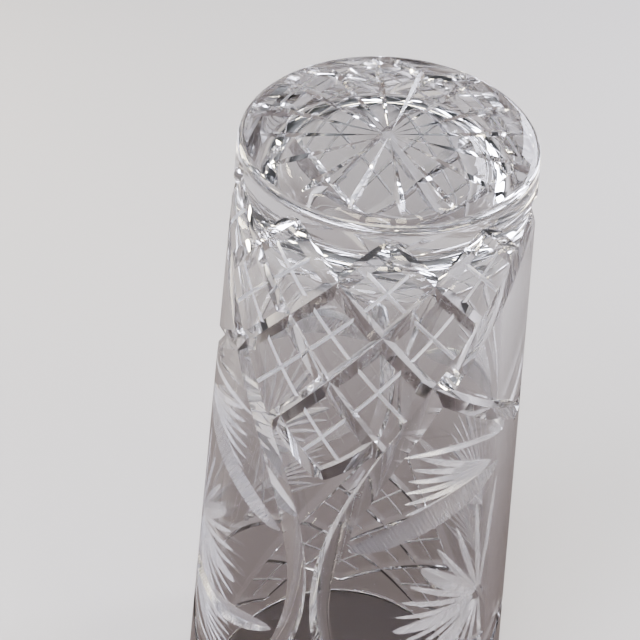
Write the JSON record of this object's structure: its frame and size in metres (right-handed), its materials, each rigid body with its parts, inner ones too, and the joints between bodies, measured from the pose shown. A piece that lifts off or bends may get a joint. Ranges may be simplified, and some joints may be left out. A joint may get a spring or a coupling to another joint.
{
  "type": "cut crystal vase",
  "caption": "Tall tapered vase of clear cut crystal, stored mouth down: diamond lattice panels, sweeping mitre cuts, leaf motifs, thick base with a cut star.",
  "frame": {"origin": "centre of the rim, on the surface that the upturned vase stands on", "axes": "+Z along the vase's axis from its mouth to its base, so the vase is stored mouth down as it is shown; -Y is the middle of a lattice panel. Turn it 180 degrees about X to stand it on its base."},
  "size_m": [0.1388, 0.1388, 0.31],
  "materials": {
    "crystal": "polished, with acid-polished mitre cuts and fine matte lines"
  },
  "bodies": {
    "root": {"base": "crystal", "wall": "crystal", "rim": "crystal"}
  },
  "joints": []
}
